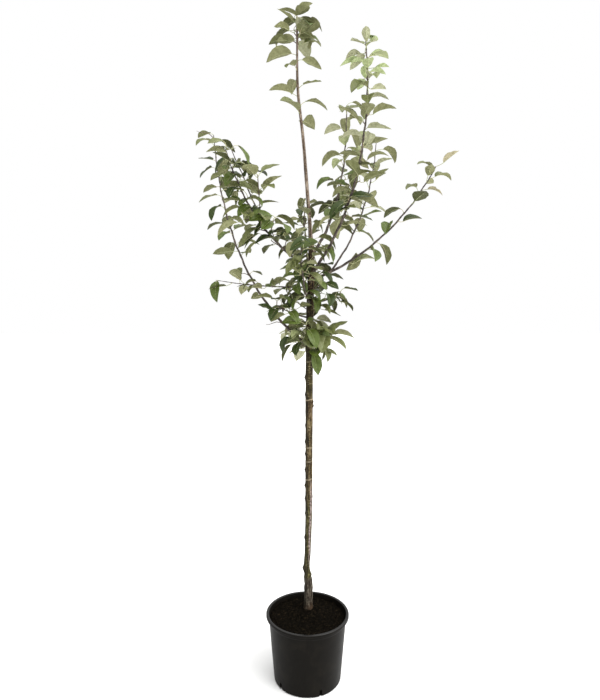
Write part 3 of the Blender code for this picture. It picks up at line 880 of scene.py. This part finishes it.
def limb_tree():
    """Skins lines with round wood by the girth stored on their points, roughened by noise."""
    inputs = (
        ("Sides", "Int", 12),
        ("Roughness height", "Float", 0.0003),
        ("Roughness scale", "Float", 160.0),
        ("Skin", "Material", None),
    )
    tree, given, end = new_group("Wood along lines", inputs)
    lines = node(tree, "GeometryNodeMeshToCurve", {"Mesh": given["Geometry"]})
    inputs = {"Resolution": given["Sides"], "Radius": 1.0}
    ring = node(tree, "GeometryNodeCurvePrimitiveCircle", inputs)
    girth = node(tree, "GeometryNodeInputNamedAttribute", {"Name": "girth"}, data_type="FLOAT")
    inputs = {"Curve": lines, "Profile Curve": ring, "Scale": girth, "Fill Caps": True}
    wood = node(tree, "GeometryNodeCurveToMesh", inputs)
    lumps = node(tree, "ShaderNodeTexNoise", {"Scale": given["Roughness scale"], "Detail": 2.0})
    centred = node(tree, "ShaderNodeMath", (lumps, 0.5), operation="SUBTRACT")
    inputs = (centred, given["Roughness height"])
    height = node(tree, "ShaderNodeMath", inputs, operation="MULTIPLY")
    inputs = {"Vector": node(tree, "GeometryNodeInputNormal"), "Scale": height}
    offset = node(tree, "ShaderNodeVectorMath", inputs, operation="SCALE")
    wood = node(tree, "GeometryNodeSetPosition", {"Geometry": wood, "Offset": offset})
    wood = node(tree, "GeometryNodeSetShadeSmooth", {"Geometry": wood})
    wood = node(tree, "GeometryNodeRealizeInstances", {"Geometry": wood})
    inputs = {"Geometry": wood, "Material": given["Skin"]}
    tree.links.new(node(tree, "GeometryNodeSetMaterial", inputs), end)
    return tree


def crumb_tree():
    """Scatters crumbs of compost over a surface, few of them large."""
    inputs = (
        ("Crumbs per square metre", "Float", 42000.0),
        ("Smallest", "Float", 0.0007),
        ("Largest", "Float", 0.0030),
        ("Seed", "Int", 7),
        ("Compost", "Material", None),
    )
    tree, given, end = new_group("Crumbs of compost", inputs)
    density = given["Crumbs per square metre"]
    inputs = {"Mesh": given["Geometry"], "Density": density, "Seed": given["Seed"]}
    spots = node(tree, "GeometryNodeDistributePointsOnFaces", inputs)
    crumb = node(tree, "GeometryNodeMeshIcoSphere", {"Radius": 1.0, "Subdivisions": 1})
    turn = node(tree, "FunctionNodeRandomValue", {1: (6.0, 6.0, 6.0)}, data_type="FLOAT_VECTOR")
    inputs = {0: (0.6, 0.6, 0.4), 1: (1.3, 1.3, 0.9)}
    shape = node(tree, "FunctionNodeRandomValue", inputs, data_type="FLOAT_VECTOR")
    even = node(tree, "FunctionNodeRandomValue", {"Seed": 3}, 1, data_type="FLOAT")
    few_large = node(tree, "ShaderNodeMath", (even, 3.0), operation="POWER")
    inputs = (few_large, 0.0, 1.0, given["Smallest"], given["Largest"])
    inputs = {"Vector": shape, "Scale": node(tree, "ShaderNodeMapRange", inputs)}
    scale = node(tree, "ShaderNodeVectorMath", inputs, operation="SCALE")
    inputs = {"Points": spots, "Instance": crumb, "Rotation": turn, "Scale": scale}
    crumbs = node(tree, "GeometryNodeInstanceOnPoints", inputs)
    crumbs = node(tree, "GeometryNodeRealizeInstances", {"Geometry": crumbs})
    inputs = {"Geometry": crumbs, "Material": given["Compost"]}
    tree.links.new(node(tree, "GeometryNodeSetMaterial", inputs), end)
    return tree


def line_piece(name, lines, values):
    """Wood along lines, each of points and girths."""
    points, edges, girths = [], [], []
    for line, radii in lines:
        edges += [(len(points) + i, len(points) + i + 1) for i in range(len(line) - 1)]
        points += line
        girths += radii
    mesh = new_mesh(name, points, edges)
    store(mesh, "girth", "FLOAT", girths)
    return grown(linked(name, mesh), limb_tree(), values)


# Settings


def setting(name, description, default, **limits):
    """A setting that holds the kind of number that its default is."""
    kind = bpy.props.IntProperty if isinstance(default, int) else bpy.props.FloatProperty
    return kind(name=name, description=description, default=default, **limits)


class PotSettings(bpy.types.PropertyGroup):
    height: setting("Height", "From the floor to the rim", 0.225, unit="LENGTH")
    rim_radius: setting("Rim radius", "Outside the rolled rim", 0.140, unit="LENGTH")
    segments: setting("Segments", "Faces round the pot", 180, min=24)


class SoilSettings(bpy.types.PropertyGroup):
    recess: setting("Recess", "How far the compost lies below the rim", 0.016, unit="LENGTH")
    mound: setting("Mound", "How far it rises round the trunk", 0.007, unit="LENGTH")
    crumbs: setting("Crumbs", "Crumbs per square metre", 42000.0, min=0)


class TrunkSettings(bpy.types.PropertyGroup):
    sides: setting("Sides", "Faces round the trunk", 48, min=8)
    ring_step: setting("Ring step", "Between the trunk's rings", 0.0030, unit="LENGTH")
    relief: setting("Relief", "Height of the bark's unevenness", 0.0006, unit="LENGTH")


class BoughSettings(bpy.types.PropertyGroup):
    sides: setting("Sides", "Faces round a bough", 12, min=5)
    step: setting("Step", "Between a bough's rings", 0.0040, unit="LENGTH")
    sway: setting("Sway", "How far a bough wanders off its arc", 0.0022, unit="LENGTH")


class LeafSettings(bpy.types.PropertyGroup):
    scale: setting("Scale", "Of every leaf", 1.0, min=0.1)
    upper_roughness: setting("Upper roughness", "Of the upper sides", 0.48, subtype="FACTOR")
    under_roughness: setting("Underside roughness", "Of the undersides", 0.75, subtype="FACTOR")


class StageSettings(bpy.types.PropertyGroup):
    floor_colour: bpy.props.FloatVectorProperty(
        name="Floor", description="Colour of the floor", subtype="COLOR", default=linear(FLOOR_CODE)
    )
    darkest: setting("Darkest", "Strength of the light across from the key light", 0.12, min=0)
    brightest: setting("Brightest", "Strength of the light round the key light", 2.6, min=0)
    key: setting("Key light", "Strength of the soft light from above", 1.5, min=0)


# Operators


def pot_profile(rim, top):
    """The pot's half section as (radius, height), from the middle of its underside over the
    rim to the middle of its floor."""
    base, roll = BASE_RADIUS, RIM_ROLL
    under_rim = top - RIM_DEPTH
    neck = under_rim - NECK_BAND
    band = NECK_RADIUS + roll / 2
    profile = [(0, HOLLOW), (0.060, HOLLOW), (base - 0.016, 0.0022), (base - 0.013, 0)]
    profile += [(base - FOOT_BEVEL * 0.7, 0), (base - FOOT_BEVEL * 0.3, 0.0016)]
    profile += [(base - 0.0005, 0.0036), (base, FOOT_BEVEL), (base + 0.0001, 0.0070)]
    profile += [(NECK_RADIUS - 0.0002, neck - 0.002), (NECK_RADIUS, neck)]
    profile += [(band - 0.0003, neck + roll * 0.5), (band, neck + roll), (band, neck + 0.004)]
    profile += [(band + roll / 2 - 0.0002, under_rim - 0.0006), (band + 0.0016, under_rim)]
    profile += [(rim - roll * 0.7, under_rim), (rim - 0.0004, under_rim + 0.0005)]
    profile += [(rim, under_rim + 0.0015), (rim, top - roll)]
    for i in range(1, 6):
        angle = math.pi / 2 * i / 5
        profile.append((rim - roll + roll * math.cos(angle), top - roll + roll * math.sin(angle)))
    profile += [(NECK_RADIUS + roll, top), (NECK_RADIUS + 0.0008, top - 0.0007)]
    profile += [(NECK_RADIUS, top - roll), (NECK_RADIUS - WALL, neck)]
    floor = FLOOR + 0.0022
    return profile + [(base - WALL, FOOT_BEVEL + FLOOR), (base - FOOT_BEVEL, floor), (0, floor)]


def add_slots(work):
    """A block through the foot of the wall for each drainage slot."""
    width, height, depth = SLOT_SIZE
    for index in range(SLOTS):
        out = heading(FIRST_SLOT_BEARING + 360 / SLOTS * index, 0)
        side = Vector((-out.y, out.x, 0))
        for vertex in bmesh.ops.create_cube(work, size=2)["verts"]:
            reach = BASE_RADIUS + vertex.co.x * depth / 2
            across = side * vertex.co.y * width / 2
            vertex.co = out * reach + across + UP * height * vertex.co.z


class TREE_OT_pot(bpy.types.Operator):
    """Make the pot: a tapering shell with a rolled rim and drainage slots"""

    bl_idname = "young_tree.pot"
    bl_label = "Make pot"

    def execute(self, context):
        settings = context.scene.tree_pot
        profile = pot_profile(settings.rim_radius, settings.height)
        points = [(0, 0, profile[0][1])]
        for radius, height in profile[1:-1]:
            points += [(x, y, height) for x, y in circle(radius, settings.segments)]
        points.append((0, 0, profile[-1][1]))
        pot = skinned("pot_shell", points, len(profile) - 2, settings.segments, pot_material())
        cutter = linked("slots", reworked(bpy.data.meshes.new("slots"), add_slots))
        modifier = pot.modifiers.new("Slots", "BOOLEAN")
        modifier.operation = "DIFFERENCE"
        modifier.object = cutter
        applied(pot)
        bpy.data.objects.remove(cutter)
        pot.data.set_sharp_from_angle(angle=math.radians(CORNER_ANGLE))
        register_piece(pot, "pot", "pot")
        return {"FINISHED"}


def soil_height(x, y, level, mound):
    """Height of the lumpy compost, level at the wall and mounded round the trunk."""
    trunk = trunk_at(level)[0]
    away = math.hypot(x - trunk.x, y - trunk.y)
    rise = mound * math.exp(-((away / MOUND_RADIUS) ** 2)) - 0.0006
    lumps = math.sin(x * 190 + 1.3) * math.sin(y * 230 + 0.4) * 0.0010
    lumps += math.sin(x * 420 + y * 310) * math.sin(y * 510 - x * 170 + 2) * 0.0006
    lumps += math.sin(x * 61 + 2.1) * math.sin(y * 83 + 0.9) * 0.0014
    return level + rise + lumps


def soil_body(edge, level, mound):
    """The compost as one closed piece."""
    low = FLOOR + 0.0025
    profile = [(BASE_RADIUS - FOOT_BEVEL - SOIL_GAP, low)]
    profile += [(BASE_RADIUS - WALL - SOIL_GAP, FOOT_BEVEL + FLOOR + SOIL_GAP), (edge, level - 0.002)]
    points = [(0, 0, low)]
    for radius, height in profile:
        points += [(x, y, height) for x, y in circle(radius, SOIL_SIDES)]
    radii = [edge * (1 - i / (SOIL_RINGS + 1)) for i in range(SOIL_RINGS)]
    places = [place for radius in radii for place in circle(radius, SOIL_SIDES)]
    points += [(x, y, soil_height(x, y, level, mound)) for x, y in (*places, (0, 0))]
    soil = soil_material("peat_compost", ("#040302", "#0b0906", "#1c160f"), 130.0)
    return skinned("potting_compost", points, len(profile) + SOIL_RINGS, SOIL_SIDES, soil)


def fibre_lines(edge, level, mound):
    """Coarse peat fibres, each lying on the crumbs and ending short of the wall."""
    chance = random.Random(5)
    lines = []
    for _ in range(FIBRES):
        away, around = edge * math.sqrt(chance.random()) * 0.94, chance.uniform(0, math.tau)
        x, y = away * math.cos(around), away * math.sin(around)
        angle = chance.uniform(0, math.tau)
        step = chance.uniform(*FIBRE_STEP)
        line = []
        for _ in range(6):
            line.append(Vector((x, y, soil_height(x, y, level, mound) + 0.0012)))
            angle += chance.uniform(-0.5, 0.5)
            ahead = (x + step * math.cos(angle), y + step * math.sin(angle))
            if math.hypot(*ahead) >= edge - 0.002:
                break
            x, y = ahead
        if len(line) > 2:
            lines.append((line, [chance.uniform(*FIBRE_GIRTH)] * len(line)))
    return lines


def keep_top(work, lowest):
    """Leaves only the faces above a height that look up."""
    low = [face for face in work.faces if face.calc_center_median().z < lowest or face.normal.z < 0.2]
    bmesh.ops.delete(work, geom=low, context="FACES")


class TREE_OT_soil(bpy.types.Operator):
    """Make the compost: a crumbly mound that fills the pot, with loose crumbs and fibres"""

    bl_idname = "young_tree.soil"
    bl_label = "Make compost"

    def execute(self, context):
        settings = context.scene.tree_soil
        top = context.scene.tree_pot.height
        level = top - settings.recess
        share = (level - FOOT_BEVEL) / (top - RIM_DEPTH - NECK_BAND - FOOT_BEVEL)
        edge = BASE_RADIUS + (NECK_RADIUS - BASE_RADIUS) * share - WALL - SOIL_GAP
        soil = soil_body(edge, level, settings.mound)
        crumbs = linked("compost_crumbs", soil.data.copy())
        reworked(crumbs.data, lambda work: keep_top(work, level - LOOSE_DEPTH))
        crumb = soil_material("peat_crumbs", ("#070503", "#13100a", "#352b20"), 220.0)
        grown(crumbs, crumb_tree(), {"Crumbs per square metre": settings.crumbs, "Compost": crumb})
        bark = soil_material("peat_fibre", ("#15120c", "#2a241a", "#473b2a"), 90.0)
        lines = fibre_lines(edge, level, settings.mound)
        values = {"Sides": 5, "Roughness height": 0.0002, "Skin": bark}
        fibres = line_piece("compost_fibres", lines, values)
        register_piece(soil, "soil", "soil")
        register_piece(crumbs, "soil")
        register_piece(fibres, "soil")
        return {"FINISHED"}


def held(values):
    """Values held between 0 and 1."""
    return np.clip(values, 0, 1)


def ridge(away, width):
    """A smooth ridge of height 1 where away is 0, which has faded out at twice the width."""
    return np.exp(-((away / width) ** 2))


def turn_from(angles, bearing):
    """Angles as turns from a bearing, from minus to plus half a turn."""
    return (angles - math.radians(bearing) + math.pi) % math.tau - math.pi


def bark_relief(heights, angles, radius, depth):
    """Radius of each point, and where the bark is scarred, ringed or old, and where the painted highlight
    and painted shade fall.
    """
    chance = np.random.default_rng(11)
    uneven = np.zeros(np.broadcast(heights, angles).shape)
    for waves, rate, share in BARK_WAVES:
        for _ in range(3):
            turns = chance.integers(-waves, waves + 1)
            phase, speed = chance.uniform(0, math.tau), rate * chance.uniform(0.6, 1.4)
            uneven = uneven + share / 3 * np.sin(turns * angles + speed * heights + phase)
    old = held((GRAFT - heights) / GRAFT_FADE)
    furrows = np.sin(7 * angles + heights * 70) * np.sin(3 * angles - heights * 130 + 1)
    slim = np.clip(radius / 0.011, 0.3, 1)
    reach = radius + SKIN * slim + depth * slim * uneven + FURROW_DEPTH * old * furrows
    reach = reach + GRAFT_LIP * ridge(heights - GRAFT + 0.006 * np.cos(angles - 2.6), 0.006)
    crease = ridge(heights - GRAFT + 0.016 + 0.014 * np.cos(angles - 3.4), 0.004)
    reach = reach - GRAFT_CREASE * crease
    scar = 0.6 * crease * np.ones_like(reach)
    for knob in KNOBS:
        across = radius * turn_from(angles, knob.bearing) / knob.size
        near = ((heights - knob.height) / knob.size) ** 2 + across**2
        collar = np.exp(-((np.sqrt(near) - 1.25) ** 2) / 0.12)
        reach = reach + knob.stands * np.exp(-1.4 * near) + 0.0004 * collar
        scar = np.maximum(scar, 0.88 * np.exp(-1.2 * near))
    ring = np.zeros_like(reach)
    for height in RINGS:
        level = height + 0.0015 * np.sin(2 * angles + height * 90)
        reach = reach + RING_HEIGHT * ridge(heights - level, RING_WIDTH)
        ring = np.maximum(ring, 0.5 * ridge(heights - level - 0.002, 0.0013))
    # Painted highlight: a pale lilac strip on the side towards the key light, between two heights.
    edge = turn_from(angles, PAINTED_HIGHLIGHT_BEARING)
    edge = edge + 0.14 * np.sin(heights * 29) + 0.07 * np.sin(heights * 131)
    ends = held((heights - PAINTED_HIGHLIGHT_HEIGHTS[0]) / 0.05) * held((PAINTED_HIGHLIGHT_HEIGHTS[1] - heights) / 0.05)
    flush = 0.8 * ends * np.exp(-((edge / PAINTED_HIGHLIGHT_REACH) ** 4))
    # Painted shade: darker on the side away from the key light, fading out up the trunk towards the leader.
    weather = 0.72 * held(-0.25 + 1.25 * np.cos(angles - math.radians(PAINTED_SHADE_BEARING)))
    weather = weather * held((PAINTED_SHADE_TOP - heights) / 0.2)
    marks = {"scar": held(scar), "ring": ring, "stock": old, "flush": flush, "weather": weather}
    return reach, marks


class TREE_OT_trunk(bpy.types.Operator):
    """Make the trunk's bark, with its graft, its pruned knobs and its rings"""

    bl_idname = "young_tree.trunk"
    bl_label = "Make trunk"

    def execute(self, context):
        settings = context.scene.tree_trunk
        low, high = TRUNK[0][2] - 0.004, TRUNK[-1][2]
        rings = int((high - low) / settings.ring_step)
        heights = np.linspace(low, high, rings)[:, None]
        angles = np.linspace(0, math.tau, settings.sides, endpoint=False)[None, :]
        x, y, radius = (np.interp(heights, TRUNK_LINE[:, 2], TRUNK_LINE[:, i]) for i in (0, 1, 3))
        reach, marks = bark_relief(heights, angles, radius, settings.relief)
        skin = (x + reach * np.cos(angles), y + reach * np.sin(angles), heights + 0 * reach)
        points = np.stack(skin, axis=-1).reshape(-1, 3)
        centre = trunk_at(high)[0]
        points = [(x[0, 0], y[0, 0], low), *points, (centre.x, centre.y, high + 0.001)]
        piece = skinned("trunk_bark", points, rings, settings.sides, trunk_material())
        for name, values in marks.items():
            wide = np.broadcast_to(values, reach.shape).reshape(-1)
            store(piece.data, name, "FLOAT", np.pad(wide, 1, mode="edge").astype(np.float32))
        register_piece(piece, "bark", "trunk")
        return {"FINISHED"}


def bough_line(limb, buds, settings):
    """A bough's centre line, which sways off its arc, and its girths, swollen at its foot and
    at each bud."""
    chance = random.Random(limb.name)
    phases = [chance.uniform(0, math.tau) for _ in range(4)]
    steps = int(limb.length / settings.step)
    buds = buds + [i * BUD_SPACING / limb.length for i in range(1, int(limb.length / BUD_SPACING))]
    line, girths = [], []
    for share in [i / steps for i in range(steps + 1)]:
        far = share * limb.length
        sway = settings.sway * min(1, share * 8) * min(1, (1 - share) * 8)
        x = math.sin(far * 62 + phases[0]) + 0.4 * math.sin(far * 170 + phases[1])
        y = math.sin(far * 57 + phases[2]) + 0.4 * math.sin(far * 190 + phases[3])
        line.append(along(PATHS[limb.name], share) + sway * Vector((x, y, 0)) * 0.5)
        swell = sum(math.exp(-(((share - bud) * limb.length / BUD_LENGTH) ** 2)) for bud in buds)
        collar = 0.5 * math.exp(-((far / COLLAR_LENGTH) ** 2))
        girths.append(girth_at(limb, share) * (1 + collar) + BUD_SWELL * min(swell, 1.2))
    girths[-1] *= 0.5
    return line, girths


class TREE_OT_boughs(bpy.types.Operator):
    """Make the boughs' bark, swollen at each bud and swaying a little off their arcs"""

    bl_idname = "young_tree.boughs"
    bl_label = "Make boughs"

    def execute(self, context):
        settings = context.scene.tree_boughs
        buds = grow_crown().buds
        lines = [bough_line(limb, buds.get(limb.name, []), settings) for limb in LIMBS]
        skin = bough_material("apple_bough_bark", ("#241c18", "#3a2f29", "#60554b"))
        values = {"Sides": settings.sides, "Roughness height": 0.0007, "Skin": skin}
        register_piece(line_piece("bough_bark", lines, values), "bark", *LIMB_NAMED)
        return {"FINISHED"}


class TREE_OT_twigs(bpy.types.Operator):
    """Make the side shoots and spurs, the leaf stalks and the leaves' midribs"""

    bl_idname = "young_tree.twigs"
    bl_label = "Make twigs and stalks"

    def execute(self, context):
        growth = grow_crown()
        skin = bough_material("apple_shoot_bark", ("#352a22", "#514334", "#746752"))
        values = {"Sides": 7, "Roughness height": 0.0003, "Skin": skin}
        register_piece(line_piece("twigs", growth.shoots, values), "bark")
        values = {"Sides": 5, "Roughness height": 0.0, "Skin": stalk_material()}
        register_piece(line_piece("leaf_stalks", growth.stalks, values), "foliage")
        return {"FINISHED"}


def shape_object(name, shape):
    """One leaf shape, with its underside marked, and its margin and midrib sharp."""
    mesh = new_mesh(name, shape.points, faces=shape.faces)
    mesh.shade_smooth()
    under = [i >= shape.upper_count for i in range(len(shape.faces))]
    store(mesh, "underside", "BOOLEAN", under, "FACE")
    sides = {}
    for face in mesh.polygons:
        for key in face.edge_keys:
            sides.setdefault(key, set()).add(under[face.index])
    sharp = [len(sides[edge.key]) == 2 or edge.key in shape.creases for edge in mesh.edges]
    store(mesh, "sharp_edge", "BOOLEAN", sharp, "EDGE")
    return bpy.data.objects.new(name, mesh)


def leaf_spots(name, leaves):
    """A point for each leaf, with its turn, size and shape."""
    mesh = new_mesh(name, [leaf.base for leaf in leaves])
    turns, sizes = [], []
    for leaf in leaves:
        turns += leaf_turn(leaf.ahead, leaf.upper).to_euler()
        sizes += [leaf.length * leaf.width, leaf.length, leaf.length]
    store(mesh, "turn", "FLOAT_VECTOR", turns)
    store(mesh, "size", "FLOAT_VECTOR", sizes)
    store(mesh, "shape", "INT", [leaf.shape for leaf in leaves])
    return linked(name, mesh)


class TREE_OT_leaves(bpy.types.Operator):
    """Make the leaves, a piece for each tone"""

    bl_idname = "young_tree.leaves"
    bl_label = "Make leaves"

    def execute(self, context):
        settings = context.scene.tree_leaves
        leaves = grow_crown().leaves
        shapes = bpy.data.collections.new("leaf_shapes")
        for index, shape in enumerate(SHAPES):
            shapes.objects.link(shape_object(f"leaf_shape_{index:02}", shape))
        tree = leaf_tree()
        values = {"Leaf shapes": shapes, "Leaf scale": settings.scale}
        sides = (
            ("Upper side", "apple_leaf_", settings.upper_roughness),
            ("Underside", "apple_leaf_underside_", settings.under_roughness),
        )
        for letter, name, *codes in TONES:
            for (side, start, roughness), code in zip(sides, codes):
                values[side] = leaf_material(start + name, code, roughness)
            piece = leaf_spots("leaves_" + name, [leaf for leaf in leaves if leaf.tone == letter])
            masses = [run.mass for run in RUNS if run.mass and run.tones[0] == letter]
            register_piece(grown(piece, tree, values), "foliage", *masses)
        for source in list(shapes.objects):
            bpy.data.objects.remove(source)
        bpy.data.collections.remove(shapes)
        return {"FINISHED"}


def surround(darkest, brightest):
    """A white backdrop for the camera, and light round the tree that is brightest on the key
    light's side and darkest across from it."""
    world = bpy.data.worlds.new("studio_surround")
    world.use_nodes = True
    tree = world.node_tree
    inputs = {0: node(tree, "ShaderNodeTexCoord", output="Generated"), 1: KEY_WAY.normalized()}
    facing = node(tree, "ShaderNodeVectorMath", inputs, "Value", operation="DOT_PRODUCT")
    share = node(tree, "ShaderNodeMapRange", (facing, -1.0, 1.0, 0.0, 1.0))
    eased = node(tree, "ShaderNodeMath", (share, LIGHT_FALL), operation="POWER")
    strength = node(tree, "ShaderNodeMapRange", (eased, 0.0, 1.0, darkest, brightest))
    light = tree.nodes["Background"]
    light.inputs["Color"].default_value = (1, 1, 1, 1)
    tree.links.new(strength, light.inputs["Strength"])
    backdrop = node(tree, "ShaderNodeBackground", {"Color": "#ffffff", "Strength": 1.0})
    seen = node(tree, "ShaderNodeLightPath", output="Is Camera Ray")
    both = node(tree, "ShaderNodeMixShader", {0: seen, 1: light.outputs[0], 2: backdrop})
    tree.links.new(both, tree.nodes["World Output"].inputs["Surface"])
    return world


class TREE_OT_stage(bpy.types.Operator):
    """Make the floor, the soft light and the camera"""

    bl_idname = "young_tree.stage"
    bl_label = "Make stage"

    def execute(self, context):
        scene = context.scene
        settings = scene.tree_stage
        scene.view_settings.view_transform = "Standard"
        scene.world = surround(settings.darkest, settings.brightest)
        paint, _, shader, _ = new_material("pale_studio_floor", FLOOR_CODE, 0.9, 0.1)
        shader["Base Color"].default_value = (*settings.floor_colour, 1)
        signs = ((-1, -1), (1, -1), (1, 1), (-1, 1))
        corners = [(x * FLOOR_REACH, y * FLOOR_REACH, 0) for x, y in signs]
        floor = new_piece("studio_floor", corners, [(0, 1, 2, 3)], paint)
        light = bpy.data.lights.new("key", "SUN")
        light.angle = math.radians(SOFTBOX_ANGLE)
        light.energy = settings.key
        key = linked("key", light)
        key.location = KEY_WAY
        key.rotation_euler = (-KEY_WAY).to_track_quat("-Z", "Y").to_euler()
        camera = linked("camera", bpy.data.cameras.new("camera"))
        camera.data.lens = CAMERA_LENS
        camera.data.sensor_width = 36
        camera.location = CAMERA_PLACE
        camera.rotation_euler = (math.radians(90) - CAMERA_DIP, 0, 0)
        scene.camera = camera
        return {"FINISHED"}


OPERATORS = (
    TREE_OT_pot,
    TREE_OT_soil,
    TREE_OT_trunk,
    TREE_OT_boughs,
    TREE_OT_twigs,
    TREE_OT_leaves,
    TREE_OT_stage,
)
SETTINGS = {
    "tree_pot": PotSettings,
    "tree_soil": SoilSettings,
    "tree_trunk": TrunkSettings,
    "tree_boughs": BoughSettings,
    "tree_leaves": LeafSettings,
    "tree_stage": StageSettings,
}


class TREE_PT_tree(bpy.types.Panel):
    """The tree's settings and the steps that make it"""

    bl_idname = "TREE_PT_tree"
    bl_label = "Young apple tree"
    bl_space_type = "VIEW_3D"
    bl_region_type = "UI"
    bl_category = "Tree"

    def draw(self, context):
        for operator in OPERATORS:
            self.layout.operator(operator.bl_idname)
        for name, group in SETTINGS.items():
            box = self.layout.box()
            for key in group.__annotations__:
                box.prop(getattr(context.scene, name), key)


def register():
    for group in (*SETTINGS.values(), *OPERATORS, TREE_PT_tree):
        bpy.utils.register_class(group)
    for name, group in SETTINGS.items():
        setattr(bpy.types.Scene, name, bpy.props.PointerProperty(type=group))


def unregister():
    for name in SETTINGS:
        delattr(bpy.types.Scene, name)
    for group in (*SETTINGS.values(), *OPERATORS, TREE_PT_tree):
        bpy.utils.unregister_class(group)


def main():
    register()
    for operator in OPERATORS:
        getattr(bpy.ops.young_tree, operator.bl_idname.split(".")[1])()
    bpy.context.view_layer.update()


if __name__ == "__main__":
    main()
